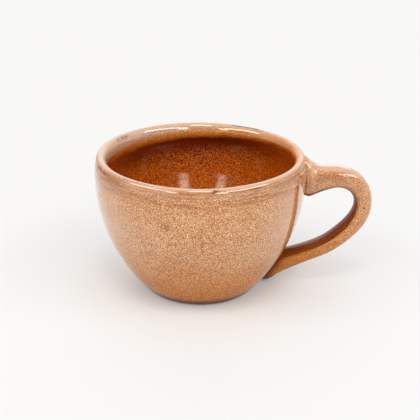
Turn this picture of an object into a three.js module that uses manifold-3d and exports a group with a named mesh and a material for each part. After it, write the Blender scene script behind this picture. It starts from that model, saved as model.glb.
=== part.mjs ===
// A wheel-thrown stoneware latte cup: a turned bowl, a pulled strap handle luted on with slip, and the fired
// glaze coats over both. Millimetres, +Z up. The origin is the middle of the foot, and the handle is on +X.
import * as THREE from "three";
import { mergeVertices } from "three/addons/utils/BufferGeometryUtils.js";
import Module from "manifold-3d";

// Bowl, measured on the clay
const CUP_HEIGHT = 71.6; // crest of the lip above the table
const BELLY_RADIUS = 53.5; // widest place of the wall
const BELLY_DROP = 11.4; // how far the widest place lies below the crest of the lip
const FOOT_RADIUS = 28.4; // flat face that stands on the table
const FOOT_BEVEL_WIDTH = 1.9;
const FOOT_BEVEL_HEIGHT = 1.2;
const FOOT_FLARE_ANGLE = 50; // degrees above the table at which the wall leaves the foot
const FOOT_FLARE_PULL = 22; // how far the wall keeps to that angle
const BELLY_PULL = 22; // how far below the belly the wall stays near upright
const WALL = 4.4; // at the belly; the wall thickens towards the foot
const FLOOR = 8; // under the middle of the bowl

// Lip
const LIP_RADIUS = 52.6; // outside of the lip, where its rounding starts
const LIP_THICKNESS = 4.4;
const LIP_ROUNDING = 2.7; // height of the rounded crest

// Handle, measured on the clay
const HANDLE_REACH = 31.1; // middle of the strap at its furthest, beyond the belly
const UPPER_JOINT_DROP = 13.4; // middle of the upper joint below the crest of the lip
const APEX_DROP = 13.4; // furthest place of the strap below the upper joint
const LOWER_JOINT_HEIGHT = 9.6; // where the strap's middle line meets the wall, above the table
const TOP_ARM_RUN = 14; // how far the strap runs straight out of the upper joint
const TOP_ARM_TILT = 4; // degrees by which it rises from the upper joint
const TOP_BEND_PULL = 9.5; // how far it keeps to that line after the straight run
const APEX_PULL_UP = 9; // how far the strap stays upright above its furthest place
const APEX_PULL_DOWN = 12;
const LOWER_ARM_PULL = 35; // how far the strap runs straight out of the lower joint
const LOWER_ARM_TILT = 17; // degrees by which it rises from the lower joint
const STRAP_WIDTH = 11.8;
const STRAP_THICKNESS_TOP = 11.2; // along the top arm
const STRAP_THICKNESS_APEX = 8.4; // at its furthest place
const STRAP_THICKNESS_LOW = 7.0; // along the lower arm
const STRAP_SQUARENESS = 2.7; // power of the section's superellipse, where 2 is an ellipse
const ROOT_WIDENING = 1.6; // added width where the strap is pressed on the wall
const ROOT_WIDENING_FADE = 4; // distance along the strap in which that fades

// Flares of the strap's ends: outer ones on the round back of the handle, inner ones in its finger hole
const UPPER_OUTER_FLARE = 5.2;
const UPPER_OUTER_FADE = 2.8;
const UPPER_INNER_FLARE = 4.2;
const UPPER_INNER_FADE = 8;
const LOWER_OUTER_FLARE = 3.7;
const LOWER_OUTER_FADE = 5;
const LOWER_INNER_FLARE = 1.6;
const LOWER_INNER_FADE = 4;
const THUMB_GROOVE_PLACE = 5; // finger groove round the upper root, from the wall
const THUMB_GROOVE_DEPTH = 0.7;
const THUMB_GROOVE_WIDTH = 1.2;

// Coats and joints
const GLAZE = 0.4;
const GLAZE_LAP = 6; // the outside coat laps over the lip and ends this far down the inside
const SLIP = 0.8; // luting slip between the handle's ends and the wall

// Fineness of the facets
const TURN_STEPS = 44;
const WALL_STEPS = 9;
const SHOULDER_STEPS = 2;
const LIP_STEPS = 6;
const BOWL_STEPS = 12;
const SECTION_STEPS = 16;
const ROOT_STEP = 1.3; // spacing of the strap's sections along the upper root
const ROOT_LENGTH = 9;
const STRAP_STEP = 4.8;
const MERGE_DISTANCE = 1e-4;

const radians = THREE.MathUtils.degToRad;
const wasm = await Module();
wasm.setup();

// Profile of the clay, as points of (radius, height)
const point = (radius, height) => new THREE.Vector2(radius, height);
const bellyHeight = CUP_HEIGHT - BELLY_DROP;
const shoulderHeight = CUP_HEIGHT - LIP_ROUNDING;
const footEdge = point(FOOT_RADIUS + FOOT_BEVEL_WIDTH, FOOT_BEVEL_HEIGHT);
const footFlare = point(
  footEdge.x + FOOT_FLARE_PULL * Math.cos(radians(FOOT_FLARE_ANGLE)),
  footEdge.y + FOOT_FLARE_PULL * Math.sin(radians(FOOT_FLARE_ANGLE)),
);
const wallCurve = new THREE.CubicBezierCurve(
  footEdge,
  footFlare,
  point(BELLY_RADIUS, bellyHeight - BELLY_PULL),
  point(BELLY_RADIUS, bellyHeight),
);
const outerShoulder = new THREE.QuadraticBezierCurve(
  point(BELLY_RADIUS, bellyHeight),
  point(BELLY_RADIUS, (bellyHeight + shoulderHeight) / 2),
  point(LIP_RADIUS, shoulderHeight),
);
const lipCrest = new THREE.EllipseCurve(
  LIP_RADIUS - LIP_THICKNESS / 2,
  shoulderHeight,
  LIP_THICKNESS / 2,
  LIP_ROUNDING,
  0,
  Math.PI,
);
const innerShoulder = new THREE.QuadraticBezierCurve(
  point(LIP_RADIUS - LIP_THICKNESS, shoulderHeight),
  point(BELLY_RADIUS - WALL, (bellyHeight + shoulderHeight) / 2),
  point(BELLY_RADIUS - WALL, bellyHeight),
);

// The inside below the belly is a quarter of an ellipse, down to the middle of the floor.
const innerBowl = new THREE.EllipseCurve(
  0,
  bellyHeight,
  BELLY_RADIUS - WALL,
  bellyHeight - FLOOR,
  0,
  -Math.PI / 2,
  true,
);

const outside = [
  ...wallCurve.getPoints(WALL_STEPS),
  ...outerShoulder.getPoints(SHOULDER_STEPS).slice(1),
  ...lipCrest.getPoints(LIP_STEPS).slice(1),
];
const inside = [
  ...innerShoulder.getPoints(SHOULDER_STEPS).slice(1, -1),
  ...innerBowl.getPoints(BOWL_STEPS).slice(0, -1),
  point(0, FLOOR),
];

// A point is set into the inside at the height where the outer glaze meets the liner.
const lapHeight = shoulderHeight - GLAZE_LAP;
const belowLap = inside.findIndex((p) => p.y < lapHeight);
const lapShare = (inside[belowLap - 1].y - lapHeight) / (inside[belowLap - 1].y - inside[belowLap].y);
inside.splice(belowLap, 0, inside[belowLap - 1].clone().lerp(inside[belowLap], lapShare));
const clayProfile = [point(0, 0), point(FOOT_RADIUS, 0), ...outside, ...inside];

// The points moved out of the clay, square to the profile.
function swollen(points, thickness) {
  return points.map((p, i) => {
    const before = points[Math.max(i - 1, 0)];
    const after = points[Math.min(i + 1, points.length - 1)];
    const along = after.clone().sub(before).normalize();
    const moved = p.clone().addScaledVector(point(along.y, -along.x), thickness);
    return p.x === 0 ? point(0, moved.y) : moved;
  });
}

// A profile turned round the cup's axis.
function turned(profile) {
  return new THREE.LatheGeometry(profile, TURN_STEPS).rotateX(Math.PI / 2);
}

// A plug of the outer shape alone, with no hollow, which trims what meets the outside of the wall.
// It reaches below the table, so that it also trims an end that is sunk under the foot.
function plug(outline) {
  const crest = outline.reduce((best, p, i) => (p.y > outline[best].y ? i : best), 0);
  const stem = [point(0, -CUP_HEIGHT), point(FOOT_RADIUS, -CUP_HEIGHT), point(FOOT_RADIUS, 0)];
  return turned([...stem, ...outline.slice(0, crest + 1), point(0, outline[crest].y)]);
}

// Glaze over one run of the profile: back along the clay, then forward along the coat's own face.
const glazedPath = [...outside, ...inside];
const coatPath = swollen(glazedPath, GLAZE);
function coat(first, last) {
  const loop = [...glazedPath.slice(first, last + 1).reverse(), ...coatPath.slice(first, last + 1)];
  return turned(loop[0].x === 0 ? loop : [...loop, loop[0]]);
}
const lapIndex = outside.length + belowLap;

// Middle line of the strap handle, in the plane y = 0, from the upper joint round to the lower one
const inPlane = (x, z) => new THREE.Vector3(x, 0, z);
const upperJointHeight = CUP_HEIGHT - UPPER_JOINT_DROP;
const topArm = inPlane(Math.cos(radians(TOP_ARM_TILT)), Math.sin(radians(TOP_ARM_TILT)));
const lowerArm = inPlane(Math.cos(radians(LOWER_ARM_TILT)), Math.sin(radians(LOWER_ARM_TILT)));

function wallRadiusAt(height) {
  const above = outside.findIndex((p, i) => i > 0 && p.y >= height);
  const low = outside[above - 1];
  const high = outside[above];
  return THREE.MathUtils.mapLinear(height, low.y, high.y, low.x, high.x);
}

function strapPath() {
  const upperJoint = inPlane(wallRadiusAt(upperJointHeight), upperJointHeight);
  const lowerJoint = inPlane(wallRadiusAt(LOWER_JOINT_HEIGHT), LOWER_JOINT_HEIGHT);
  const apex = inPlane(BELLY_RADIUS + HANDLE_REACH, upperJointHeight - APEX_DROP);
  const topArmEnd = upperJoint.clone().addScaledVector(topArm, TOP_ARM_RUN);
  const upperBend = new THREE.CubicBezierCurve3(
    topArmEnd,
    topArmEnd.clone().addScaledVector(topArm, TOP_BEND_PULL),
    apex.clone().add(inPlane(0, APEX_PULL_UP)),
    apex,
  );
  const lowerBend = new THREE.CubicBezierCurve3(
    apex,
    apex.clone().add(inPlane(0, -APEX_PULL_DOWN)),
    lowerJoint.clone().addScaledVector(lowerArm, LOWER_ARM_PULL),
    lowerJoint,
  );
  const path = new THREE.CurvePath();
  path.add(new THREE.LineCurve3(upperJoint, topArmEnd));
  path.add(upperBend);
  path.add(lowerBend);
  return path;
}

// Half widths of the strap at a distance along its middle line, whose furthest place lies at apexDistance
function strapSection(distance, length, apexDistance) {
  const fromUpper = Math.max(distance, 0);
  const fromLower = Math.max(length - distance, 0);
  const fade = (gone, reach) => Math.exp(-gone / reach);
  const toApex = THREE.MathUtils.smoothstep(distance, 0, apexDistance);
  const toLow = THREE.MathUtils.smoothstep(distance, apexDistance, length);
  const topToApex = THREE.MathUtils.lerp(STRAP_THICKNESS_TOP, STRAP_THICKNESS_APEX, toApex);
  const thickness = THREE.MathUtils.lerp(topToApex, STRAP_THICKNESS_LOW, toLow);
  const widening = fade(fromUpper, ROOT_WIDENING_FADE) + fade(fromLower, ROOT_WIDENING_FADE);
  const groove = Math.exp(-(((fromUpper - THUMB_GROOVE_PLACE) / THUMB_GROOVE_WIDTH) ** 2));
  return {
    outer:
      thickness / 2 +
      UPPER_OUTER_FLARE * fade(fromUpper, UPPER_OUTER_FADE) +
      LOWER_OUTER_FLARE * fade(fromLower, LOWER_OUTER_FADE),
    inner:
      thickness / 2 +
      UPPER_INNER_FLARE * fade(fromUpper, UPPER_INNER_FADE) +
      LOWER_INNER_FLARE * fade(fromLower, LOWER_INNER_FADE),
    side: (STRAP_WIDTH + ROOT_WIDENING * widening) / 2 - THUMB_GROOVE_DEPTH * groove,
  };
}

// Distances of the strap's sections: close together on the upper root, and sunk into the wall at both ends,
// level at the lower one so that its tail stays above the table.
function strapStations(length) {
  const rootSteps = Math.round(ROOT_LENGTH / ROOT_STEP);
  const strapSteps = Math.round((length - ROOT_LENGTH) / STRAP_STEP);
  const stations = [-WALL / 2];
  for (let step = 0; step < rootSteps; step++) {
    stations.push((ROOT_LENGTH * step) / rootSteps);
  }
  for (let step = 0; step <= strapSteps; step++) {
    stations.push(THREE.MathUtils.lerp(ROOT_LENGTH, length, step / strapSteps));
  }
  return [...stations, length + STRAP_THICKNESS_LOW + LOWER_OUTER_FLARE];
}

// A sine or cosine pushed out towards the corners of the superellipse.
function squared(value) {
  return Math.sign(value) * Math.abs(value) ** (2 / STRAP_SQUARENESS);
}

// The strap as one loft of superelliptic sections, swollen all round by the given thickness.
function strap(swell) {
  const path = strapPath();
  const [, apexDistance, length] = path.getCurveLengths();
  const positions = [];
  const stations = strapStations(length);
  for (const distance of stations) {
    const share = THREE.MathUtils.clamp(distance / length, 0, 1);
    const tangent = distance > length ? inPlane(-1, 0) : path.getTangent(share);
    const centre = path.getPoint(share).addScaledVector(tangent, distance - share * length);
    const across = inPlane(-tangent.z, tangent.x);
    const { outer, inner, side } = strapSection(distance, length, apexDistance);
    for (let step = 0; step < SECTION_STEPS; step++) {
      const angle = (2 * Math.PI * step) / SECTION_STEPS;
      const high = squared(Math.cos(angle));
      const wide = squared(Math.sin(angle));
      const corner = centre.clone().addScaledVector(across, high * ((high > 0 ? outer : inner) + swell));
      positions.push(corner.x, wide * (side + swell), corner.z);
    }
  }
  return new THREE.BufferGeometry()
    .setAttribute("position", new THREE.Float32BufferAttribute(positions, 3))
    .setIndex(loftFaces(stations.length));
}

// Faces between neighbouring sections, and a fan on each end.
function loftFaces(sections) {
  const faces = [];
  for (let row = 0; row + 1 < sections; row++) {
    for (let step = 0; step < SECTION_STEPS; step++) {
      const next = (step + 1) % SECTION_STEPS;
      const [a, b] = [row * SECTION_STEPS + step, row * SECTION_STEPS + next];
      faces.push(a, b + SECTION_STEPS, b, a, a + SECTION_STEPS, b + SECTION_STEPS);
    }
  }
  const last = (sections - 1) * SECTION_STEPS;
  for (let step = 1; step + 1 < SECTION_STEPS; step++) {
    faces.push(0, step, step + 1, last, last + step + 1, last + step);
  }
  return faces;
}

// Solids for cutting and joining, and back to geometry
function solidOf(geometry) {
  const bare = geometry.clone();
  bare.deleteAttribute("normal");
  bare.deleteAttribute("uv");
  const merged = mergeVertices(bare, MERGE_DISTANCE);
  const mesh = new wasm.Mesh({
    numProp: 3,
    vertProperties: new Float32Array(merged.attributes.position.array),
    triVerts: new Uint32Array(merged.index.array),
  });
  return new wasm.Manifold(mesh);
}

function geometryOf(solid) {
  const mesh = solid.getMesh();
  const geometry = new THREE.BufferGeometry()
    .setAttribute("position", new THREE.BufferAttribute(mesh.vertProperties, 3))
    .setIndex(new THREE.BufferAttribute(mesh.triVerts, 1));
  geometry.computeVertexNormals();
  return geometry;
}

// Handle and its joints: the strap ends on the slip, and the slip fills the last stretch to the wall.
const bowlPlug = solidOf(plug(outside));
const slipPlug = solidOf(plug(swollen(outside, SLIP)));
const coatPlug = solidOf(plug(swollen(outside, GLAZE)));
const strapClay = solidOf(strap(0));
const handle = strapClay.subtract(slipPlug);
const slips = strapClay.intersect(slipPlug).subtract(bowlPlug).decompose();
slips.sort((a, b) => a.boundingBox().min[2] - b.boundingBox().min[2]);
const handleCoat = solidOf(strap(GLAZE)).subtract(coatPlug).subtract(strapClay);
const outerCoat = solidOf(coat(0, lapIndex)).subtract(strapClay);

const clayLook = { color: 0x8f6244, roughness: 0.85, metalness: 0 };
const slipLook = { color: 0x7d5238, roughness: 0.9, metalness: 0 };
const outerLook = { color: 0xc28a5c, roughness: 0.28, metalness: 0 };
const linerLook = { color: 0x8a3d12, roughness: 0.18, metalness: 0 };

const cup = new THREE.Group();
function addPiece(name, geometry, look) {
  const piece = new THREE.Mesh(geometry, new THREE.MeshStandardMaterial(look));
  piece.name = name;
  cup.add(piece);
}

addPiece("cup_body", turned(clayProfile), clayLook);
addPiece("handle", geometryOf(handle), clayLook);
addPiece("upper_joint_slip", geometryOf(slips.at(-1)), slipLook);
addPiece("lower_joint_slip", geometryOf(slips[0]), slipLook);
addPiece("liner_glaze", coat(lapIndex, glazedPath.length - 1), linerLook);
addPiece("outer_glaze", geometryOf(outerCoat), outerLook);
addPiece("handle_glaze", geometryOf(handleCoat), outerLook);

export default cup;
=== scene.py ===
# A hand-thrown stoneware latte cup with a pulled strap handle.
# Speckled tan glaze covers its outside and dark amber glaze its inside.
# Sizes are millimetres, as in the part's drawing, and become metres when a mesh is made.
import math

import bmesh
import bpy
from mathutils import Matrix, Vector


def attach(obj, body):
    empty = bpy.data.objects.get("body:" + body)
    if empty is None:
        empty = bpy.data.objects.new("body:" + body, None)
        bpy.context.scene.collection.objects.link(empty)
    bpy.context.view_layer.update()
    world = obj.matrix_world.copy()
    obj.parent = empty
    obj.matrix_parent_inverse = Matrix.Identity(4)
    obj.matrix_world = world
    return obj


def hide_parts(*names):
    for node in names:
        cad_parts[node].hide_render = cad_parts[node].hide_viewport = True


MM = 0.001

# Bowl, measured on the clay
CUP_HEIGHT = 71.6
BELLY_RADIUS = 53.5
BELLY_DROP = 11.4
FOOT_RADIUS = 28.4
FOOT_BEVEL_WIDTH = 1.9
FOOT_BEVEL_HEIGHT = 1.2
FOOT_FLARE_ANGLE = 50
FOOT_FLARE_PULL = 22
BELLY_PULL = 22
WALL = 4.4
FLOOR = 8
LIP_RADIUS = 52.6
LIP_OUTER_WIDTH = 2.0
LIP_INNER_WIDTH = 3.2
LIP_ROUNDING = 2.7
LIP_INNER_ROUNDING = 5.0
GLAZE = 0.4
GLAZE_LAP = 6

# Strap handle, measured on the clay
HANDLE_REACH = 31.1
UPPER_JOINT_DROP = 13.4
APEX_DROP = 13.4
LOWER_JOINT_HEIGHT = 9.6
TOP_ARM_RUN = 14
TOP_ARM_TILT = 4
TOP_BEND_PULL = 9.5
APEX_PULL_UP = 9
APEX_PULL_DOWN = 12
LOWER_ARM_PULL = 35
LOWER_ARM_TILT = 17
STRAP_WIDTH = 11.8
STRAP_THICKNESS_TOP = 11.2
STRAP_THICKNESS_APEX = 8.4
STRAP_THICKNESS_LOW = 7.0

# Section of the strap: squareness outside and inside, and how much fuller it is outside where it runs level
OUTER_SQUARENESS = 2.3
INNER_SQUARENESS = 2.0
OUTER_FILL = 0.6

# Sag of the lower arm: depth, place along the strap from the lower joint, and half length
ARM_SAG = 0.7
ARM_SAG_PLACE = 32
ARM_SAG_WIDTH = 9

# Flares of the strap where it meets the wall: size, length of the fade, and power of the fade
ROOT_WIDENING = 1.6
ROOT_WIDENING_FADE = 4
UPPER_OUTER_FLARE = 6
UPPER_OUTER_FADE = 4.2
UPPER_OUTER_POWER = 1.5
UPPER_INNER_FLARE = 4.6
UPPER_INNER_FADE = 9.5
UPPER_INNER_POWER = 1.6
UPPER_LOBE_ROUNDING = 1.3
LOWER_OUTER_FLARE = 3.7
LOWER_OUTER_FADE = 9
LOWER_INNER_FLARE = 1.6
LOWER_INNER_FADE = 16
LOWER_INNER_POWER = 3
LOWER_TAIL_DROP = 1.2
LOWER_TAIL_LENGTH = 0.5

# Fold on the flanks at the upper joint, fading towards the inner face: a raised collar, then a thumb groove
COLLAR_PLACE = 3.1
COLLAR_RISE = 0.75
COLLAR_WIDTH = 1.1
THUMB_GROOVE_PLACE = 5
THUMB_GROOVE_DEPTH = 0.9
THUMB_GROOVE_WIDTH = 0.9
FOLD_REACH = (-0.9, 0.2)

# Fineness of the meshes
TURN_STEPS = 224
PROFILE_STEP = 0.55
PROFILE_SOFTENING = 4
WALL_STEPS = 80
SHOULDER_STEPS = 12
LIP_STEPS = 24
COAT_BACK_STEP = 9
CLAY_STEP = 3
FOOT_RINGS = 90
SECTION_STEPS = 64
LINE_STEP = 0.5
LINE_SOFTENING = 6
BEND_STEPS = 60
FALL_STEPS = 100
STRAP_STEP = 0.8
STRAP_BACK_STEP = 6
TAIL_RINGS = 6
TAIL_STEP = 2
SMOOTH_ANGLE = 50

# Ridges left by throwing below the lip: height on the wall, rise and half width.
# Round the cup each ridge loses up to twice the share RIDGE_CHANGE of its rise
RIDGES = [(68.9, -0.16, 0.5), (66.6, 0.16, 0.55), (64.1, 0.13, 0.5), (61.0, 0.05, 0.6)]
RIDGE_CHANGE = 0.2

# Golden bands where the glaze breaks over the ridges: height, share and half width
BANDS = [(69.0, 0.9, 0.45), (66.6, 1.0, 0.42), (64.2, 0.9, 0.4), (61.4, 0.4, 0.45)]

# Spirals left by throwing, outside by height, inside by distance past the lip and by radius
SPIRAL_PITCH = 3.6
SPIRAL_DEPTH = 0.02
SPIRAL_ZONE = (3, 10, 56, 64)
INSIDE_PITCH = 6.5
INSIDE_DEPTH = 0.025
INSIDE_START = (8, 16)
INSIDE_CENTRE = (1, 8)

# Unroundness from the wheel: size, number of waves round the cup and their start
WOBBLE_OUT = [(0.16, 2, 0.7), (0.09, 3, 2.0)]
WOBBLE_UP = [(0.14, 2, 2.4), (0.07, 5, 0)]
WOBBLE_CALM_RADIUS = 20

# Trimming rings under the foot
TRIM_DEPTH = 0.12
TRIM_PITCH = 2.9
TRIM_MARGIN = 3
TRIM_CENTRE = 0.25

# Burnt marks along the lip, and a dark line along the far lip from 45 to 72 degrees:
# first and last degree round the cup, distance past the crest, half width and share
BURNT_MARKS = [
    (143, 157, 1.8, 0.9, 0.75),
    (-163, -147, -3.0, 0.7, 1.0),
    (-150, -116, -1.3, 0.4, 0.6),
    (45, 72, 0.2, 0.8, 0.9),
    (72, 95, -1.3, 0.5, 0.7),
    (-84.5, -80, -1.9, 0.8, 1.0),
]
BURNT_FADE = (0.5, 1.1)

# Dark glaze round the joints, partly glaze that pools there and partly painted shade: the box that holds
# them, the share, its half width and outline, and the heights where it ends below the lip.
# The crease where the strap meets the wall is pooled glaze and painted shade, with its widths at the lower
# and upper joint and the heights between which they change
JOINT_MIN_X = 25
JOINT_MAX_Y = 12
JOINT_SHADE = 0.8
JOINT_SHADE_WIDTH = 0.7
JOINT_SQUARENESS = 3
BELOW_LIP = (59, 65)
CREASE_WIDTH_LOWER = 4.5
CREASE_WIDTH_UPPER = 0.6
CREASE_CHANGE = (18, 40)

# Pooled glaze and painted shade on the strap's inner face: its edge, from 0 on the flanks to 1 on the inner
# face's middle, moves between two shares of the strap's length. From a higher share on, the glaze has the
# colour of the crease's painted shade
POOL_AND_SHADE_SHARE = 0.8
POOL_AND_SHADE_EDGE_UPPER = 0.62
POOL_AND_SHADE_EDGE_LOWER = 0.38
POOL_AND_SHADE_EDGE_CHANGE = (0.38, 0.6)
POOL_AND_SHADE_EDGE_SOFTNESS = 0.2
CREASE_SHARE = 0.9

# Golden glaze along the lower arm, partly painted shade there, from a share of the strap's length on,
# and on the flanks of the upper arm, in a zone of distances from the upper joint
GOLDEN_AND_SHADE_LOWER_SHARE = 0.12
GOLDEN_AND_SHADE_LOWER_START = (0.3, 0.85)
GOLDEN_UPPER_ZONE = (4, 8, 18, 28)
GOLDEN_FLANK = 0.25
GOLDEN_FLANK_WIDTH = 0.4

# Painted highlight in the lip's pale colour over the collar's fold and along the top of the upper arm, in a
# zone of distances from the upper joint
HIGHLIGHT_SHARE = 0.7
HIGHLIGHT_ZONE = (3, 8, 20, 32)
HIGHLIGHT_TOP = (0.5, 0.85)
HIGHLIGHT_COLLAR = (-0.1, 0.5)

# The handle's glaze counts as lying this far below the crest of the lip
HANDLE_DEPTH = -30.0

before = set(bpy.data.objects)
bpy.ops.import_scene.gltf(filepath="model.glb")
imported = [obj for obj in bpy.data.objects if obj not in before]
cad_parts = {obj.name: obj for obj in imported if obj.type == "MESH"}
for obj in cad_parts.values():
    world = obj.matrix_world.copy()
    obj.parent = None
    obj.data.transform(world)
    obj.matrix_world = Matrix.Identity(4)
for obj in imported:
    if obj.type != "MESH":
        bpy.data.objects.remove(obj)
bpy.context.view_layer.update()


def smoothstep(value, low, high):
    share = min(max((value - low) / (high - low), 0), 1)
    return share * share * (3 - 2 * share)


def between(value, start, full, fade, end):
    """0 up to start, 1 from full to fade, and 0 again from end on."""
    return smoothstep(value, start, full) * (1 - smoothstep(value, fade, end))


def mix(low, high, share):
    return low + (high - low) * share


def bell(value, centre, width):
    return math.exp(-(((value - centre) / width) ** 2))


def fading(distance, length, power=1):
    return math.exp(-((distance / length) ** power))


def bezier(points, share):
    while len(points) > 1:
        points = [tuple(mix(a, b, share) for a, b in zip(p, q)) for p, q in zip(points, points[1:])]
    return points[0]


def sampled(points, steps):
    return [bezier(points, i / steps) for i in range(steps + 1)]


# Profile of the clay, as points of (radius, height)
BELLY_HEIGHT = CUP_HEIGHT - BELLY_DROP
SHOULDER_HEIGHT = CUP_HEIGHT - LIP_ROUNDING
MID_SHOULDER = (BELLY_HEIGHT + SHOULDER_HEIGHT) / 2
FOOT_EDGE = (FOOT_RADIUS + FOOT_BEVEL_WIDTH, FOOT_BEVEL_HEIGHT)
FLARE = math.radians(FOOT_FLARE_ANGLE)
WALL_CURVE = [
    FOOT_EDGE,
    (FOOT_EDGE[0] + FOOT_FLARE_PULL * math.cos(FLARE), FOOT_EDGE[1] + FOOT_FLARE_PULL * math.sin(FLARE)),
    (BELLY_RADIUS, BELLY_HEIGHT - BELLY_PULL),
    (BELLY_RADIUS, BELLY_HEIGHT),
]


def lip_points():
    """The lip's section: a tight rounding outside the crest and a wider one inside it."""
    crest = LIP_RADIUS - LIP_OUTER_WIDTH
    points = []
    for step in range(LIP_STEPS + 1):
        angle = math.pi * step / LIP_STEPS
        outside = step < LIP_STEPS / 2
        width = LIP_OUTER_WIDTH if outside else LIP_INNER_WIDTH
        drop = LIP_ROUNDING if outside else LIP_INNER_ROUNDING
        points.append((crest + width * math.cos(angle), CUP_HEIGHT - drop * (1 - math.sin(angle))))
    return points


def outside_points():
    shoulder = [(BELLY_RADIUS, BELLY_HEIGHT), (BELLY_RADIUS, MID_SHOULDER), (LIP_RADIUS, SHOULDER_HEIGHT)]
    return sampled(WALL_CURVE, WALL_STEPS) + sampled(shoulder, SHOULDER_STEPS)[1:] + lip_points()[1:]


def inside_points():
    start = lip_points()[-1]
    width = BELLY_RADIUS - WALL
    drop = BELLY_HEIGHT - FLOOR
    shoulder = [
        start,
        (start[0], mix(start[1], BELLY_HEIGHT, 0.4)),
        (width, mix(start[1], BELLY_HEIGHT, 0.6)),
        (width, BELLY_HEIGHT),
    ]
    turns = [math.pi / 2 * i / WALL_STEPS for i in range(WALL_STEPS)]
    bowl = [(width * math.cos(turn), BELLY_HEIGHT - drop * math.sin(turn)) for turn in turns]
    return sampled(shoulder, SHOULDER_STEPS)[1:-1] + bowl + [(0, FLOOR)]


def normals(points):
    found = []
    for i in range(len(points)):
        before = points[max(i - 1, 0)]
        after = points[min(i + 1, len(points) - 1)]
        along = Vector((after[0] - before[0], after[1] - before[1])).normalized()
        found.append((along.y, -along.x))
    return found


def evenly(points, step):
    """The points of a line, spaced anew at about the given step."""
    lengths = [0]
    for p, q in zip(points, points[1:]):
        lengths.append(lengths[-1] + math.dist(p, q))
    count = round(lengths[-1] / step)
    spaced = []
    row = 0
    for i in range(count + 1):
        goal = lengths[-1] * i / count
        while row < len(points) - 2 and lengths[row + 1] < goal:
            row += 1
        share = (goal - lengths[row]) / (lengths[row + 1] - lengths[row])
        spaced.append(tuple(mix(a, b, share) for a, b in zip(points[row], points[row + 1])))
    return spaced


def softened(points, rounds):
    """The points of a line, drawn towards their neighbours a number of times."""
    for _ in range(rounds):
        middle = [
            tuple((a + 2 * b + c) / 4 for a, b, c in zip(p, q, r))
            for p, q, r in zip(points, points[1:], points[2:])
        ]
        points = [points[0], *middle, points[-1]]
    return points


CLAY = softened(evenly(outside_points() + inside_points(), PROFILE_STEP), PROFILE_SOFTENING)
CLAY_NORMALS = normals(CLAY)
CREST = max(range(len(CLAY)), key=lambda i: CLAY[i][1])
LAP = next(i for i in range(CREST, len(CLAY)) if CLAY[i][1] < SHOULDER_HEIGHT - GLAZE_LAP)
POLE = len(CLAY) - 1
TURNS = [2 * math.pi * step / TURN_STEPS for step in range(TURN_STEPS)]


# Bowl
def depth_at(index):
    """Distance along the profile from the crest of the lip, positive on the inside."""
    return (index - CREST) * PROFILE_STEP


def ridge_at(height):
    return sum(rise * bell(height, place, width) for place, rise, width in RIDGES)


def band_at(height):
    return min(sum(share * bell(height, place, width) for place, share, width in BANDS), 1)


def burnt_at(index, turn):
    degrees = math.degrees(turn)
    found = 0
    for first, last, place, width, share in BURNT_MARKS:
        middle = (first + last) / 2
        off = abs((degrees - middle + 180) % 360 - 180) / ((last - first) / 2)
        along = 1 - smoothstep(off, *BURNT_FADE)
        found = max(found, share * along * bell(depth_at(index), place, width))
    return found


def throwing_marks(index, turn):
    """Rise of the wall's surface where throwing left ridges and a faint spiral."""
    radius, height = CLAY[index]
    if index < CREST:
        ridge = ridge_at(height) * (1 - RIDGE_CHANGE * (1 - math.sin(turn * 2 + height)))
        phase = 2 * math.pi * height / SPIRAL_PITCH + turn
        return ridge + SPIRAL_DEPTH * between(height, *SPIRAL_ZONE) * math.sin(phase)
    travelled = depth_at(index)
    phase = 2 * math.pi * travelled / INSIDE_PITCH + turn
    calm = smoothstep(travelled, *INSIDE_START) * smoothstep(radius, *INSIDE_CENTRE)
    return INSIDE_DEPTH * calm * math.sin(phase)


def waves(terms, turn):
    return sum(size * math.sin(count * turn + start) for size, count, start in terms)


def wobbled(radius, height, turn):
    """A point of the bowl with the slight unroundness of the wheel."""
    share = height / CUP_HEIGHT
    out = waves(WOBBLE_OUT, turn) * share**2 * min(radius / WOBBLE_CALM_RADIUS, 1)
    rise = waves(WOBBLE_UP, turn) * share**4
    return ((radius + out) * math.cos(turn), (radius + out) * math.sin(turn), height + rise)


def bowl_ring(index, offset, marked):
    ring = []
    for turn in TURNS:
        lift = offset + (throwing_marks(index, turn) if marked else 0)
        radius = CLAY[index][0] + CLAY_NORMALS[index][0] * lift
        height = CLAY[index][1] + CLAY_NORMALS[index][1] * lift
        ring.append(wobbled(max(radius, 0), height, turn))
    return ring


def bridged(rings, closed):
    """Vertices and faces of rings of points. A ring of one point is a pole, and two poles share no face."""
    starts = []
    vertices = []
    for ring in rings:
        starts.append(len(vertices))
        vertices.extend(ring)
    pairs = list(zip(range(len(rings)), range(1, len(rings))))
    if closed:
        pairs.append((len(rings) - 1, 0))
    faces = []
    for a, b in pairs:
        count = max(len(rings[a]), len(rings[b]))
        if count == 1:
            continue
        for step in range(count):
            after = (step + 1) % count
            if len(rings[a]) == 1:
                faces.append((starts[a], starts[b] + after, starts[b] + step))
            elif len(rings[b]) == 1:
                faces.append((starts[a] + step, starts[a] + after, starts[b]))
            else:
                corners = (starts[a] + step, starts[a] + after, starts[b] + after, starts[b] + step)
                faces.append(corners)
    return vertices, faces


def add_piece(name, vertices, faces, fields):
    """A mesh in metres, smooth but for its sharp edges, with fields of one number for each vertex."""
    mesh = bpy.data.meshes.new(name)
    mesh.from_pydata([tuple(c * MM for c in v) for v in vertices], [], faces)
    for label, values in fields.items():
        layer = mesh.attributes.new(label, "FLOAT", "POINT")
        layer.data.foreach_set("value", values)
    shape = bmesh.new()
    shape.from_mesh(mesh)
    bmesh.ops.recalc_face_normals(shape, faces=shape.faces)
    for face in shape.faces:
        face.smooth = True
    for edge in shape.edges:
        edge.smooth = edge.calc_face_angle(0) < math.radians(SMOOTH_ANGLE)
    shape.to_mesh(mesh)
    shape.free()
    piece = bpy.data.objects.new(name, mesh)
    bpy.context.scene.collection.objects.link(piece)
    return piece


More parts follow.
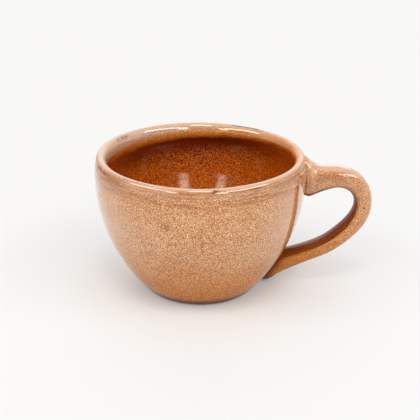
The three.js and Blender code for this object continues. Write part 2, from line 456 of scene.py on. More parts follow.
def coat_rings(first, last):
    """Rings of a glaze coat: the face that shows, then back along the clay in wide steps."""
    shown = range(first, last + 1)
    back = sorted({*range(last, first - 1, -COAT_BACK_STEP), first}, reverse=True)
    return [(i, GLAZE, True) for i in shown] + [(i, 0, False) for i in back]


def add_coat(name, first, last):
    """A closed coat of glaze on the bowl's clay, between two points of the profile."""
    rings = []
    fields = {"depth": [], "ridge": [], "joint": [], "burnt": []}
    for index, offset, marked in coat_rings(first, last):
        ring = [(0, 0, FLOOR + offset)] if index == POLE else bowl_ring(index, offset, marked)
        rings.append(ring)
        broken = band_at(CLAY[index][1]) if index < CREST else 0
        fields["depth"] += [depth_at(index)] * len(ring)
        fields["ridge"] += [broken] * len(ring)
        # Dark glaze round the handle's joints, partly pooled glaze and partly painted shade
        fields["joint"] += [joint_shade(point) for point in ring]
        fields["burnt"] += [burnt_at(index, turn) for turn in TURNS[: len(ring)]]
    vertices, faces = bridged(rings, closed=True)
    return add_piece(name, vertices, faces, fields)


def add_clay_bowl():
    """The bowl's clay, bare only on the foot, whose underside keeps its trimming rings."""
    rings = [[(0, 0, TRIM_CENTRE)]]
    for i in range(1, FOOT_RINGS + 1):
        radius = FOOT_RADIUS * i / FOOT_RINGS
        cut = TRIM_DEPTH * (1 + math.sin(2 * math.pi * radius / TRIM_PITCH))
        if radius >= FOOT_RADIUS - TRIM_MARGIN:
            cut = 0
        rings.append([(radius * math.cos(turn), radius * math.sin(turn), cut) for turn in TURNS])
    rings += [bowl_ring(i, 0, False) for i in range(0, POLE, CLAY_STEP)]
    rings.append([(0, 0, FLOOR)])
    vertices, faces = bridged(rings, closed=False)
    return add_piece("clay_bowl", vertices, faces, {})


# Strap handle
def wall_radius_at(height):
    above = next(i for i in range(1, CREST) if CLAY[i][1] >= height)
    low, high = CLAY[above - 1], CLAY[above]
    return mix(low[0], high[0], (height - low[1]) / (high[1] - low[1]))


def toward(start, tilt, distance):
    angle = math.radians(tilt)
    return (start[0] + distance * math.cos(angle), start[1] + distance * math.sin(angle))


def strap_line():
    """Middle line of the strap in the plane y = 0, as points of (x, z)."""
    upper_height = CUP_HEIGHT - UPPER_JOINT_DROP
    upper = (wall_radius_at(upper_height), upper_height)
    lower = (wall_radius_at(LOWER_JOINT_HEIGHT), LOWER_JOINT_HEIGHT)
    apex = (BELLY_RADIUS + HANDLE_REACH, upper_height - APEX_DROP)
    arm_end = toward(upper, TOP_ARM_TILT, TOP_ARM_RUN)
    bend = [arm_end, toward(arm_end, TOP_ARM_TILT, TOP_BEND_PULL), (apex[0], apex[1] + APEX_PULL_UP), apex]
    fall = [apex, (apex[0], apex[1] - APEX_PULL_DOWN), toward(lower, LOWER_ARM_TILT, LOWER_ARM_PULL), lower]
    points = [upper] + sampled(bend, BEND_STEPS) + sampled(fall, FALL_STEPS)[1:]
    return softened(evenly(points, LINE_STEP), LINE_SOFTENING)


LINE = strap_line()
LINE_LENGTH = sum(math.dist(p, q) for p, q in zip(LINE, LINE[1:]))
TAIL_DISTANCE = LINE_LENGTH + LOWER_TAIL_LENGTH
APEX_DISTANCE = LINE_LENGTH * max(range(len(LINE)), key=lambda i: LINE[i][0]) / (len(LINE) - 1)


def strap_place(distance):
    """Point of the middle line and its direction. Past the lower joint it runs level into the wall."""
    step = LINE_LENGTH / (len(LINE) - 1)
    row = min(max(int(distance / step), 0), len(LINE) - 2)
    start, end = Vector(LINE[row]), Vector(LINE[row + 1])
    along = (end - start).normalized()
    if distance > LINE_LENGTH:
        level = Vector((-1, 0))
        return end + level * (distance - LINE_LENGTH), level
    return start + along * (distance - row * step), along


def strap_half_widths(distance):
    """Reach of the section to its outer face, its inner face and its flanks, and the fold on the flanks."""
    from_upper = max(distance, 0)
    from_lower = max(LINE_LENGTH - distance, 0)
    thickness = mix(STRAP_THICKNESS_TOP, STRAP_THICKNESS_APEX, smoothstep(distance, 0, APEX_DISTANCE))
    thickness = mix(thickness, STRAP_THICKNESS_LOW, smoothstep(distance, APEX_DISTANCE, LINE_LENGTH))
    outer = thickness / 2 + UPPER_OUTER_FLARE * fading(from_upper, UPPER_OUTER_FADE, UPPER_OUTER_POWER)
    outer += LOWER_OUTER_FLARE * fading(from_lower, LOWER_OUTER_FADE)
    outer += LOWER_TAIL_DROP * smoothstep(distance, LINE_LENGTH, TAIL_DISTANCE)
    inner = thickness / 2 + UPPER_INNER_FLARE * fading(from_upper, UPPER_INNER_FADE, UPPER_INNER_POWER)
    inner += LOWER_INNER_FLARE * fading(from_lower, LOWER_INNER_FADE, LOWER_INNER_POWER)
    inner -= UPPER_LOBE_ROUNDING * bell(from_upper, 0, UPPER_LOBE_ROUNDING)
    widening = fading(from_upper, ROOT_WIDENING_FADE) + fading(from_lower, ROOT_WIDENING_FADE)
    side = (STRAP_WIDTH + ROOT_WIDENING * widening) / 2
    fold = COLLAR_RISE * bell(from_upper, COLLAR_PLACE, COLLAR_WIDTH)
    fold -= THUMB_GROOVE_DEPTH * bell(from_upper, THUMB_GROOVE_PLACE, THUMB_GROOVE_WIDTH)
    return outer, inner, side, fold


def squared(value, squareness):
    return math.copysign(abs(value) ** (2 / squareness), value)


def outwardness(step):
    """1 on the strap's outer face, 0 on its flanks and -1 on its inner face."""
    return math.cos(2 * math.pi * step / SECTION_STEPS)


def strap_ring(distance, swell):
    centre, along = strap_place(distance)
    across = Vector((-along.y, along.x))
    outer, inner, side, fold = strap_half_widths(distance)
    outer += OUTER_FILL * abs(across.y)
    centre = centre + across * ARM_SAG * bell(LINE_LENGTH - distance, ARM_SAG_PLACE, ARM_SAG_WIDTH)
    ring = []
    for step in range(SECTION_STEPS):
        outward = outwardness(step)
        sideways = math.sin(2 * math.pi * step / SECTION_STEPS)
        squareness = OUTER_SQUARENESS if outward > 0 else INNER_SQUARENESS
        high = squared(outward, squareness)
        wide = squared(sideways, squareness)
        corner = centre + across * high * ((outer if high > 0 else inner) + swell)
        folded = side + fold * smoothstep(high, *FOLD_REACH) + swell
        ring.append((corner.x, wide * folded, corner.y))
    return ring


def strap_stations():
    """Distances of the strap's sections, sunk into the wall at both ends."""
    count = round(LINE_LENGTH / STRAP_STEP)
    stations = [-WALL / 2, *(LINE_LENGTH * i / count for i in range(count + 1))]
    return stations + [TAIL_DISTANCE + TAIL_STEP * i for i in range(TAIL_RINGS)]


def wall_gap(point):
    """How far a point lies outside the glazed wall."""
    height = min(max(point[2], FOOT_BEVEL_HEIGHT), SHOULDER_HEIGHT)
    return math.hypot(point[0], point[1]) - wall_radius_at(height) - GLAZE


def below_lip(point):
    return 1 - smoothstep(point[2], *BELOW_LIP)


def joint_shade(point):
    """Share of dark glaze on the wall round both joints, partly pooled glaze and partly painted shade,
    which fades about 1.5 mm away and near the lip.
    """
    if point[0] < JOINT_MIN_X or abs(point[1]) > JOINT_MAX_Y:
        return 0
    gaps = []
    for distance in (0, TAIL_DISTANCE):
        centre = strap_place(distance)[0]
        outer, inner, side, _ = strap_half_widths(distance)
        high = point[2] - centre.y
        reach = (outer if (high > 0) == (distance == 0) else inner) + GLAZE
        wide = point[1] / (side + GLAZE)
        squares = abs(high / reach) ** JOINT_SQUARENESS + abs(wide) ** JOINT_SQUARENESS
        radius = squares ** (1 / JOINT_SQUARENESS)
        gaps.append(abs(radius - 1) * min(reach, side))
    return JOINT_SHADE * bell(min(gaps), 0, JOINT_SHADE_WIDTH) * below_lip(point)


def crease_share(point):
    """1 where the strap meets the wall, in a crease of pooled glaze and painted shade that is wider at the
    lower joint.
    """
    width = mix(CREASE_WIDTH_LOWER, CREASE_WIDTH_UPPER, smoothstep(point[2], *CREASE_CHANGE))
    return bell(max(wall_gap(point), 0), 0, width) * below_lip(point)


def inner_share(distance, step):
    """Share of pooled glaze and painted shade on the strap's inner face, which covers more of it along the
    lower arm.
    """
    along = smoothstep(distance / LINE_LENGTH, *POOL_AND_SHADE_EDGE_CHANGE)
    edge = mix(POOL_AND_SHADE_EDGE_UPPER, POOL_AND_SHADE_EDGE_LOWER, along)
    return POOL_AND_SHADE_SHARE * smoothstep(-outwardness(step), edge, edge + POOL_AND_SHADE_EDGE_SOFTNESS)


def golden_share(distance, step):
    """Share of golden glaze, which grows along the lower arm, where it is partly painted shade, and lies on
    the upper arm's flanks.
    """
    lower = GOLDEN_AND_SHADE_LOWER_SHARE * smoothstep(distance / LINE_LENGTH, *GOLDEN_AND_SHADE_LOWER_START)
    flank = bell(outwardness(step), GOLDEN_FLANK, GOLDEN_FLANK_WIDTH)
    return max(lower, between(distance, *GOLDEN_UPPER_ZONE) * flank)


def painted_highlight_share(distance, step):
    """Share of painted highlight, in the lip's pale colour, along the top of the upper arm and over the
    collar's fold.
    """
    top = between(distance, *HIGHLIGHT_ZONE) * smoothstep(outwardness(step), *HIGHLIGHT_TOP)
    collar = bell(distance, COLLAR_PLACE, COLLAR_WIDTH) * smoothstep(outwardness(step), *HIGHLIGHT_COLLAR)
    return HIGHLIGHT_SHARE * max(top, collar)


def add_clay_handle():
    """The strap's clay, which fills the glaze coat round it."""
    stations = strap_stations()
    ends = []
    for distance in (stations[0], stations[-1]):
        centre = strap_place(distance)[0]
        ends.append([(centre.x, 0, centre.y)])
    rings = [ends[0], *(strap_ring(d, 0) for d in stations), ends[1]]
    vertices, faces = bridged(rings, closed=False)
    return add_piece("clay_handle", vertices, faces, {})


def add_handle_coat():
    """The strap's closed coat of glaze: the face that shows, then back along the clay in wide steps."""
    stations = strap_stations()
    back = [stations[-1], *reversed(stations[::STRAP_BACK_STEP])]
    rings = [strap_ring(d, GLAZE) for d in stations] + [strap_ring(d, 0) for d in back]
    vertices, faces = bridged(rings, closed=True)
    places = [(d, step) for d in stations + back for step in range(SECTION_STEPS)]
    creases = [crease_share(v) for v in vertices]
    inner_faces = [inner_share(d, step) for d, step in places]
    fields = {
        "depth": [HANDLE_DEPTH] * len(vertices),
        # Golden glaze, along the lower arm partly painted shade
        "ridge": [golden_share(d, step) for d, step in places],
        # Pooled glaze and painted shade in the creases and on the strap's inner face
        "joint": [max(crease, share) for crease, share in zip(creases, inner_faces)],
        # Painted highlight along the top of the upper arm and over the collar
        "painted_highlight": [painted_highlight_share(d, step) for d, step in places],
    }
    return add_piece("handle_coat", vertices, faces, fields)


# Node helpers
def linear(red, green, blue):
    def channel(value):
        value /= 255
        return value / 12.92 if value <= 0.04045 else ((value + 0.055) / 1.055) ** 2.4

    return (channel(red), channel(green), channel(blue), 1)


def plug(tree, socket, value):
    if isinstance(value, bpy.types.NodeSocket):
        tree.links.new(value, socket)
    else:
        socket.default_value = value


def mixed(tree, share, low, high):
    node = tree.nodes.new("ShaderNodeMix")
    node.data_type = "RGBA"
    plug(tree, node.inputs[0], share)
    plug(tree, node.inputs[6], low)
    plug(tree, node.inputs[7], high)
    return node.outputs[2]


def spread(tree, value, low, high, to_low=0.0, to_high=1.0):
    """The value as a smooth step that starts with to_low at low and ends with to_high at high."""
    node = tree.nodes.new("ShaderNodeMapRange")
    node.interpolation_type = "SMOOTHSTEP"
    plug(tree, node.inputs[0], value)
    node.inputs[1].default_value = low
    node.inputs[2].default_value = high
    node.inputs[3].default_value = to_low
    node.inputs[4].default_value = to_high
    return node.outputs[0]


def calc(tree, operation, first, second=0.0):
    node = tree.nodes.new("ShaderNodeMath")
    node.operation = operation
    plug(tree, node.inputs[0], first)
    plug(tree, node.inputs[1], second)
    return node.outputs[0]


def times(tree, first, second):
    return calc(tree, "MULTIPLY", first, second)


def without(tree, share):
    return calc(tree, "SUBTRACT", 1.0, share)


def noise(tree, size_mm, detail, offset=0.0, rough=0.5, flat=1.0):
    """Noise in the object's own space, whose spots are about size_mm wide and flat times less high."""
    coords = tree.nodes.new("ShaderNodeTexCoord")
    shift = tree.nodes.new("ShaderNodeVectorMath")
    shift.operation = "MULTIPLY_ADD"
    shift.inputs[1].default_value = (1, 1, flat)
    shift.inputs[2].default_value = (offset, offset * 0.7, offset * 0.3)
    tree.links.new(coords.outputs["Object"], shift.inputs[0])
    node = tree.nodes.new("ShaderNodeTexNoise")
    tree.links.new(shift.outputs[0], node.inputs["Vector"])
    node.inputs["Scale"].default_value = 1 / (size_mm * MM)
    node.inputs["Detail"].default_value = detail
    node.inputs["Roughness"].default_value = rough
    return node.outputs["Fac"]


def field(tree, name):
    """A number stored on the mesh's vertices, 0 where the mesh has none."""
    node = tree.nodes.new("ShaderNodeAttribute")
    node.attribute_name = name
    return node.outputs["Fac"]


def place_mm(tree, axis):
    coords = tree.nodes.new("ShaderNodeTexCoord")
    parts = tree.nodes.new("ShaderNodeSeparateXYZ")
    tree.links.new(coords.outputs["Object"], parts.inputs[0])
    return calc(tree, "DIVIDE", parts.outputs[axis], MM)


def gap_to(tree, place):
    """Distance of the surface from a place, both in metres in the object's own space."""
    coords = tree.nodes.new("ShaderNodeTexCoord")
    gap = tree.nodes.new("ShaderNodeVectorMath")
    gap.operation = "DISTANCE"
    tree.links.new(coords.outputs["Object"], gap.inputs[0])
    gap.inputs[1].default_value = place
    return gap.outputs["Value"]


def near_spot(tree, place, radius):
    """1 at a place on the surface, fading to 0 at the given radius."""
    gap = gap_to(tree, [c * MM for c in place])
    return spread(tree, gap, radius * MM, 0.2 * radius * MM)


def add_bump(tree, shader, height, strength, depth_mm):
    bump = tree.nodes.new("ShaderNodeBump")
    bump.inputs["Strength"].default_value = strength
    bump.inputs["Distance"].default_value = depth_mm * MM
    plug(tree, bump.inputs["Height"], height)
    plug(tree, shader.inputs["Normal"], bump.outputs[0])


def new_material(name):
    material = bpy.data.materials.new(name)
    material.use_nodes = True
    tree = material.node_tree
    return material, tree, tree.nodes["Principled BSDF"]


def dress(piece, material):
    piece.data.materials.clear()
    piece.data.materials.append(material)


# Colours of the glaze
TAN = linear(196, 129, 73)
PINK_TAN = linear(208, 147, 97)
CREAM = linear(242, 204, 161)
GOLD_SPECK = linear(234, 164, 82)
BROWN_SPECK = linear(136, 70, 18)
LIP_PINK = linear(206, 173, 152)
GOLD = linear(150, 77, 4)
FOOT_GOLD = linear(182, 100, 14)
# A dark line round the foot, partly the glaze's colour and partly painted contact shade
FOOT_LINE_AND_SHADE = linear(88, 36, 0)
# Pooled glaze and painted shade on the strap's inner face and round the joints, and the darker painted
# shade of the creases
POOLED_GLAZE_AND_SHADE = linear(116, 44, 1)
CREASE_SHADE = linear(62, 26, 4)
BURNT = linear(92, 44, 20)
HONEY = linear(206, 128, 40)
PALE_HONEY = linear(230, 170, 92)
DEEP_HONEY = linear(168, 88, 14)
AMBER = linear(162, 61, 3)
DARK_AMBER = linear(80, 14, 1)
BRIGHT_AMBER = linear(240, 132, 18)
AMBER_SHINE = (1, 0.75, 0.45, 1)
WHITE_SHINE = (1, 1, 1, 1)

# Colours of the bare clay
BUFF = linear(150, 104, 72)
PALE_BUFF = linear(172, 124, 88)
GROG = linear(92, 60, 40)

# Heights on the wall where the foot's colours start and are full, and how far patches shift them
FOOT_GOLD_START = (48, 8)
GOLD_SPECK_START = (48, 14)
FOOT_LINE_AND_SHADE_START = (6.6, 1.8)
PATCH_RISE = 10.0

# Distances past the crest of the lip where the colours start and are full
LIP_PINK_START = (-2.4, -0.8)
UPPER_WALL = (-28.0, -20.0)
OFF_LIP = (3.0, 8.0)
INSIDE = (3, 7)
HONEY_START = (4.0, 6.4)
DEEP_HONEY_START = (6.1, 8.5)
AMBER_START = (8.0, 10.5)
BAND_START = (8.3, 11.3)
BAND_END = (16.5, 29.0)
FLOOR_START = (28.0, 46.0)
AMBER_SPECK_START = (7, 11)
BRIGHT_SPECK_START = (10, 26)
DARK_SPECK_START = (8, 11)
BAND_SPECK_END = (14, 19)

# Golden rings below the lip: the heights where they start, and the distances from the crest where they end
RING_START = (60.0, 65.0)
RING_END = (-1.2, -3.0)

# The liner's edge is uneven, and sinks by this share of x towards the side away from the handle
LINER_UNEVENNESS = 2.5
LINER_TILT = 0.075

# The liner's dark band, pooled glaze and painted shade under the far lip, is faint in front and full on the
# far side, which is turned a little to the left
BAND_FAR_SIDE = (-5.0, 40.0)
BAND_TURN = 0.2

# Specks: size, the offsets that set the two kinds apart,
# and the distances from the middle where they are fewer on the bowl and more on the handle.
# The pale specks are partly painted glints, and these are fewer on the bowl's sides
SPECK_SIZE = 0.44
PALE_SPECKS = 0.17
DARK_SPECKS = 0.57
FEWER_SPECKS = (28, 46)
HANDLE_SPECKS = (40, 60)

# A smudge on the wall and a pinhole on the handle: place, radius and share
SMUDGES = [((-15.2, -51.3, 52.8), 2.6, 0.42), ((84.4, -6.3, 44.1), 1.0, 0.95)]

# Gloss of the glaze: its coat starts above the foot, and has its own share on the handle's upper arm
GLAZE_IOR = 1.32
COAT_IOR = 1.85
COAT_START = (12, 52)
ARM_COAT = 0.55
ARM_COAT_X = (55, 62)
ARM_COAT_Z = (30, 45)
POOL_AND_SHADE_ROUGHNESS = 0.12


# Materials
def liner_depth(tree):
    """Distance past the lip that the liner's colours follow."""
    uneven = times(tree, noise(tree, 5, 2, 0.63), LINER_UNEVENNESS)
    dipped = times(tree, place_mm(tree, "X"), LINER_TILT)
    return calc(tree, "ADD", field(tree, "depth"), calc(tree, "ADD", uneven, dipped))


def liner_shade_band(tree, depth):
    """Share of the darkest amber, from the liner's edge downwards: pooled glaze and painted shade under the
    far lip.
    """
    rightward = times(tree, calc(tree, "MAXIMUM", place_mm(tree, "X"), 0.0), BAND_TURN)
    far = calc(tree, "SUBTRACT", place_mm(tree, "Y"), rightward)
    return times(tree, spread(tree, depth, *BAND_START), spread(tree, far, *BAND_FAR_SIDE, 0.1, 1.0))


def ground_colour(tree, patches, low, depth, shade_band):
    """Colour of the glaze between its specks."""
    colour = mixed(tree, spread(tree, patches, 0.35, 0.65), TAN, PINK_TAN)
    colour = mixed(tree, spread(tree, low, *FOOT_GOLD_START, 0, 0.9), colour, FOOT_GOLD)
    colour = mixed(tree, spread(tree, field(tree, "depth"), *LIP_PINK_START, 0, 0.8), colour, LIP_PINK)
    colour = mixed(tree, spread(tree, depth, *HONEY_START), colour, HONEY)
    colour = mixed(tree, spread(tree, depth, *DEEP_HONEY_START), colour, DEEP_HONEY)
    colour = mixed(tree, spread(tree, depth, *AMBER_START), colour, AMBER)
    # Dark band of pooled glaze and painted shade under the far lip
    colour = mixed(tree, shade_band, colour, DARK_AMBER)
    colour = mixed(tree, spread(tree, depth, *BAND_END), colour, AMBER)
    return mixed(tree, spread(tree, depth, *FLOOR_START, 0, 0.25), colour, BRIGHT_AMBER)


def specks(tree, offset):
    return spread(tree, noise(tree, SPECK_SIZE, 1, offset, 0.7), 0.47, 0.61)


def pale_speck_colour(tree, low, depth, shade_band):
    colour = mixed(tree, spread(tree, low, *GOLD_SPECK_START), CREAM, GOLD_SPECK)
    colour = mixed(tree, times(tree, field(tree, "ridge"), 0.6), colour, CREAM)
    colour = mixed(tree, spread(tree, depth, *INSIDE), colour, PALE_HONEY)
    colour = mixed(tree, spread(tree, depth, *AMBER_SPECK_START), colour, AMBER)
    colour = mixed(tree, spread(tree, depth, *BRIGHT_SPECK_START), colour, BRIGHT_AMBER)
    in_band = times(tree, shade_band, spread(tree, depth, *BAND_SPECK_END, 0.6, 0))
    return mixed(tree, in_band, colour, DARK_AMBER)


def dark_speck_colour(tree, depth):
    colour = mixed(tree, spread(tree, depth, *INSIDE), BROWN_SPECK, DEEP_HONEY)
    return mixed(tree, spread(tree, depth, *DARK_SPECK_START), colour, DARK_AMBER)


def speck_strength(tree, golden):
    """How clearly the specks show: less on the lip, the bowl's sides, the golden lines and the painted
    highlight. The pale specks are partly painted glints.
    """
    past_lip = field(tree, "depth")
    strength = spread(tree, calc(tree, "ABSOLUTE", past_lip), 1.0, 5.0, 0.3, 1.0)
    sideways = calc(tree, "ABSOLUTE", place_mm(tree, "X"))
    on_bowl = spread(tree, sideways, *FEWER_SPECKS, 1.0, 0.55)
    on_handle = spread(tree, sideways, *HANDLE_SPECKS, 0, 0.8)
    strength = times(tree, strength, calc(tree, "MAXIMUM", on_bowl, on_handle))
    strength = times(tree, strength, without(tree, field(tree, "painted_highlight")))
    broken = times(tree, golden, spread(tree, past_lip, *UPPER_WALL, 0.4, 0.6))
    return times(tree, strength, without(tree, broken))


def golden_lines(tree, height):
    """Share of gold where the glaze breaks: rings below the lip, the ridges, and places on the strap."""
    past_lip = field(tree, "depth")
    rings = spread(tree, noise(tree, 18, 3, 0.29, 0.6, 22.0), 0.45, 0.55, 0.35, 1.0)
    zone = times(tree, spread(tree, height, *RING_START), spread(tree, past_lip, *RING_END))
    zone = times(tree, zone, spread(tree, past_lip, *UPPER_WALL))
    places = spread(tree, noise(tree, 22, 2, 0.83), 0.36, 0.6, 0.8, 1.0)
    below_crest = times(tree, times(tree, rings, zone), places)
    ridges = times(tree, field(tree, "ridge"), places)
    return calc(tree, "MAXIMUM", below_crest, ridges)


def pool_and_shade_colour(tree, colour, pale_specks):
    """The colour with the dark pooled glaze and painted shade on the strap's inner face and in the joints'
    creases.
    """
    joint = field(tree, "joint")
    speckled = spread(tree, pale_specks, 0, 1, 1.0, 0.8)
    pool_and_shade = times(tree, spread(tree, joint, 0.0, POOL_AND_SHADE_SHARE), speckled)
    colour = mixed(tree, pool_and_shade, colour, POOLED_GLAZE_AND_SHADE)
    return mixed(tree, spread(tree, joint, POOL_AND_SHADE_SHARE, CREASE_SHARE), colour, CREASE_SHADE)


def spotted(tree, colour):
    """The colour with the burnt marks, the smudge and the pinhole."""
    ragged = spread(tree, noise(tree, 1.6, 3, 0.77), 0.34, 0.52)
    colour = mixed(tree, times(tree, field(tree, "burnt"), ragged), colour, BURNT)
    for place, radius, share in SMUDGES:
        colour = mixed(tree, times(tree, near_spot(tree, place, radius), share), colour, BURNT)
    return colour


def glaze_colour(tree):
    """Colour of the glaze all over the cup, from the distance past the lip and the height."""
    patches = noise(tree, 14, 3, 0.31)
    height = place_mm(tree, "Z")
    low = calc(tree, "ADD", height, times(tree, patches, PATCH_RISE))
    depth = liner_depth(tree)
    shade_band = liner_shade_band(tree, depth)
    golden = golden_lines(tree, height)
    strength = speck_strength(tree, golden)
    pale = specks(tree, PALE_SPECKS)
    dark = specks(tree, DARK_SPECKS)
    colour = ground_colour(tree, patches, low, depth, shade_band)
    colour = mixed(tree, golden, colour, GOLD)
    # Painted highlight on the handle's upper arm and collar, in the lip's pale colour
    colour = mixed(tree, field(tree, "painted_highlight"), colour, LIP_PINK)
    # Pale specks, partly painted glints
    colour = mixed(tree, times(tree, pale, strength), colour, pale_speck_colour(tree, low, depth, shade_band))
    colour = mixed(tree, times(tree, dark, strength), colour, dark_speck_colour(tree, depth))
    # Dark line round the foot, partly painted contact shade
    colour = mixed(tree, spread(tree, height, *FOOT_LINE_AND_SHADE_START, 0, 0.95), colour, FOOT_LINE_AND_SHADE)
    return spotted(tree, pool_and_shade_colour(tree, colour, pale))


def coat_weight(tree, gloss):
    """Weight of the glossy coat.

    On the wall it grows towards the cup's edges, and on the lip it shrinks towards them. It fades towards
    the foot and over the pooled glaze and painted shade.
    """
    facing = tree.nodes.new("ShaderNodeLayerWeight").outputs["Facing"]
    edge = spread(tree, facing, 0.15, 0.52, gloss, 1.0)
    crest = spread(tree, facing, 0.25, 0.6, 1.0, 0.15)
    off_lip = spread(tree, calc(tree, "ABSOLUTE", field(tree, "depth")), *OFF_LIP)
    wall = times(tree, off_lip, calc(tree, "SUBTRACT", edge, crest))
    off_foot = spread(tree, place_mm(tree, "Z"), *COAT_START)
    coat = times(tree, calc(tree, "ADD", crest, wall), off_foot)
    on_handle = spread(tree, place_mm(tree, "X"), *ARM_COAT_X)
    on_arm = times(tree, on_handle, spread(tree, place_mm(tree, "Z"), *ARM_COAT_Z))
    coat = calc(tree, "MAXIMUM", coat, times(tree, on_arm, ARM_COAT))
    return times(tree, coat, spread(tree, field(tree, "joint"), 0, 0.7, 1.0, 0.0))


def glaze_material(name, rough_low, rough_high, coat_rough, gloss, tint):
    material, tree, shader = new_material(name)
    plug(tree, shader.inputs["Base Color"], glaze_colour(tree))
    rough = spread(tree, noise(tree, 2.5, 2, 0.11), 0.3, 0.7, rough_low, rough_high)
    pool_and_shade = times(tree, field(tree, "joint"), POOL_AND_SHADE_ROUGHNESS)
    plug(tree, shader.inputs["Roughness"], calc(tree, "ADD", rough, pool_and_shade))
    plug(tree, shader.inputs["Coat Weight"], coat_weight(tree, gloss))
    shader.inputs["IOR"].default_value = GLAZE_IOR
    shader.inputs["Coat Roughness"].default_value = coat_rough
    shader.inputs["Coat IOR"].default_value = COAT_IOR
    shader.inputs["Specular Tint"].default_value = tint
    add_bump(tree, shader, noise(tree, 1.3, 2, 0.41), strength=0.18, depth_mm=0.03)
    return material


def clay_material():
    material, tree, shader = new_material("bare_stoneware")
    grog = noise(tree, 0.9, 3, 0.2, 0.7)
    patches = noise(tree, 9, 3, 0.6)
    colour = mixed(tree, spread(tree, patches, 0.3, 0.7), BUFF, PALE_BUFF)
    colour = mixed(tree, spread(tree, grog, 0.56, 0.72, 0, 0.8), colour, GROG)
    plug(tree, shader.inputs["Base Color"], colour)
    shader.inputs["Roughness"].default_value = 0.85
    add_bump(tree, shader, grog, strength=0.6, depth_mm=0.12)
    return material


# The cup
tan_glaze = glaze_material(
    "tan_speckled_glaze", rough_low=0.05, rough_high=0.1, coat_rough=0.04, gloss=0.3, tint=WHITE_SHINE
)
amber_glaze = glaze_material(
    "amber_liner_glaze", rough_low=0.18, rough_high=0.28, coat_rough=0.12, gloss=0.7, tint=AMBER_SHINE
)
clay = clay_material()

for piece, material, node, slot in (
    (add_coat("outer_coat", 0, LAP), tan_glaze, "outer_glaze", "tan_glaze"),
    (add_coat("liner_coat", LAP, POLE), amber_glaze, "liner_glaze", "amber_glaze"),
    (add_handle_coat(), tan_glaze, "handle_glaze", "tan_glaze"),
    (add_clay_bowl(), clay, "cup_body", "stoneware"),
    (add_clay_handle(), clay, "handle", "stoneware"),
):
    dress(piece, material)
    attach(piece, "root")
    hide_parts(node)
for node in ("upper_joint_slip", "lower_joint_slip"):
    dress(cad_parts[node], clay)


# Room, in metres: the floor that is seen glows, but hardly in the shade round the cup,
# and the backdrop is dim in front of the cup and high up
FLOOR_HALF_SIZE = 3
FLOOR_COLOUR = (0.79, 0.8, 0.81, 1)
FLOOR_SEEN = linear(249, 248, 246)
FLOOR_GLOW = 0.9
SHADE_CENTRE = (0, -0.035, 0)
SHADE_RADIUS = 0.21
SHADE_GLOW = 0.03
BACKDROP_SEEN = linear(248, 247, 245)
AMBIENT_COLOUR = (1, 1, 1, 1)
AMBIENT_STRENGTH = 0.55
DIM_FRONT = (-0.1, -0.5)
DIM_RISE = (0.1, 0.3)
DIM_SHARE = 0.92

# Windows that face the cup: name, azimuth, elevation, width, height, power and colour
WHITE = (1, 1, 1)
WARM = (1, 0.93, 0.76)
WINDOW_DISTANCE = 5
WINDOW_TARGET = (0, 0, 0.04)
WINDOWS = [
    ("left_window", -152, 42, 3.8, 1.1, 80, WHITE),
    ("right_window", -31, 42, 3.8, 1.1, 78, WHITE),
    ("front_left_strip", -120, 30, 0.9, 2.0, 28, WARM),
    ("front_right_strip", -66, 30, 1.0, 2.0, 34, WARM),
    ("back_softbox", 90, 28, 5.0, 3.2, 46, WHITE),
    ("top_softbox", -90, 70, 1.4, 0.9, 30, WHITE),
]

# Camera, fitted to the photograph
CAMERA_EYE = (0, -393.57, 209.213)
CAMERA_TARGET = (5.0955, 0, 39.839)
CAMERA_ROLL = 0.66
CAMERA_LENS = 70.23
CAMERA_SENSOR = 36
CAMERA_CLIP = 10


def seen_directly(tree):
    """1 for rays from the camera and in mirrors and glass, 0 for the light that falls on the cup."""
    rays = tree.nodes.new("ShaderNodeLightPath")
    seen = calc(tree, "MAXIMUM", rays.outputs["Is Camera Ray"], rays.outputs["Is Glossy Ray"])
    return calc(tree, "MAXIMUM", seen, rays.outputs["Is Transmission Ray"])


def floor_material():
    material, tree, shader = new_material("pale_floor")
    shader.inputs["Base Color"].default_value = FLOOR_COLOUR
    shader.inputs["Roughness"].default_value = 0.8
    shader.inputs["Specular IOR Level"].default_value = 0
    glow = tree.nodes.new("ShaderNodeEmission")
    glow.inputs["Color"].default_value = FLOOR_SEEN
    glow.inputs["Strength"].default_value = 1
    share = spread(tree, gap_to(tree, SHADE_CENTRE), 0.0, SHADE_RADIUS, SHADE_GLOW, FLOOR_GLOW)
    joined = tree.nodes.new("ShaderNodeMixShader")
    tree.links.new(times(tree, seen_directly(tree), share), joined.inputs[0])
    tree.links.new(shader.outputs[0], joined.inputs[1])
    tree.links.new(glow.outputs[0], joined.inputs[2])
    tree.links.new(joined.outputs[0], tree.nodes["Material Output"].inputs[0])
    return material


def add_floor():
    shape = bmesh.new()
    bmesh.ops.create_grid(shape, x_segments=1, y_segments=1, size=FLOOR_HALF_SIZE)
    mesh = bpy.data.meshes.new("floor")
    shape.to_mesh(mesh)
    shape.free()
    floor = bpy.data.objects.new("floor", mesh)
    bpy.context.scene.collection.objects.link(floor)
    dress(floor, floor_material())


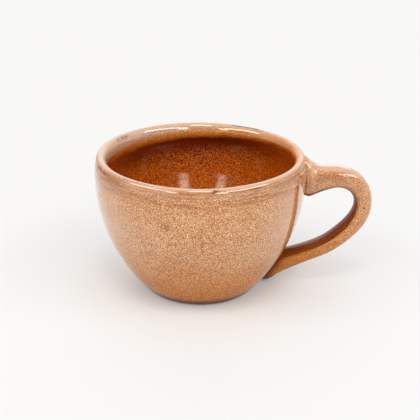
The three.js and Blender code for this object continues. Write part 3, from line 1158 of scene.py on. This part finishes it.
def add_world():
    """White light all round, seen as a pale backdrop that darkens high up in front of the cup."""
    world = bpy.data.worlds.new("studio")
    bpy.context.scene.world = world
    world.use_nodes = True
    tree = world.node_tree
    tree.nodes.clear()
    output = tree.nodes.new("ShaderNodeOutputWorld")
    lighting = tree.nodes.new("ShaderNodeBackground")
    lighting.inputs["Color"].default_value = AMBIENT_COLOUR
    lighting.inputs["Strength"].default_value = AMBIENT_STRENGTH
    backdrop = tree.nodes.new("ShaderNodeBackground")
    backdrop.inputs["Color"].default_value = BACKDROP_SEEN
    coords = tree.nodes.new("ShaderNodeTexCoord")
    parts = tree.nodes.new("ShaderNodeSeparateXYZ")
    tree.links.new(coords.outputs["Generated"], parts.inputs[0])
    front = spread(tree, parts.outputs["Y"], *DIM_FRONT)
    dim = times(tree, front, spread(tree, parts.outputs["Z"], *DIM_RISE, 0, DIM_SHARE))
    plug(tree, backdrop.inputs["Strength"], without(tree, dim))
    joined = tree.nodes.new("ShaderNodeMixShader")
    tree.links.new(seen_directly(tree), joined.inputs[0])
    tree.links.new(lighting.outputs[0], joined.inputs[1])
    tree.links.new(backdrop.outputs[0], joined.inputs[2])
    tree.links.new(joined.outputs[0], output.inputs[0])


def add_window(name, azimuth, elevation, width, height, power, colour):
    """A soft window light that faces the cup."""
    lamp = bpy.data.lights.new(name, "AREA")
    lamp.color = colour
    lamp.shape = "RECTANGLE"
    lamp.size = width
    lamp.size_y = height
    lamp.energy = power
    holder = bpy.data.objects.new(name, lamp)
    bpy.context.scene.collection.objects.link(holder)
    around = math.radians(azimuth)
    rise = math.radians(elevation)
    back = Vector((math.cos(around) * math.cos(rise), math.sin(around) * math.cos(rise), math.sin(rise)))
    holder.location = back * WINDOW_DISTANCE + Vector(WINDOW_TARGET)
    holder.rotation_mode = "QUATERNION"
    holder.rotation_quaternion = (-back).to_track_quat("-Z", "Y")


def add_camera():
    eye = Vector(CAMERA_EYE) * MM
    target = Vector(CAMERA_TARGET) * MM
    data = bpy.data.cameras.new("camera")
    data.lens = CAMERA_LENS
    data.sensor_width = CAMERA_SENSOR
    data.clip_start = CAMERA_CLIP * MM
    camera = bpy.data.objects.new("camera", data)
    bpy.context.scene.collection.objects.link(camera)
    aim = (target - eye).to_track_quat("-Z", "Y").to_matrix().to_4x4()
    roll = Matrix.Rotation(math.radians(CAMERA_ROLL), 4, "Z")
    camera.matrix_world = Matrix.Translation(eye) @ aim @ roll
    bpy.context.scene.camera = camera


add_floor()
add_world()
for window in WINDOWS:
    add_window(*window)
add_camera()
bpy.context.scene.view_settings.view_transform = "Standard"
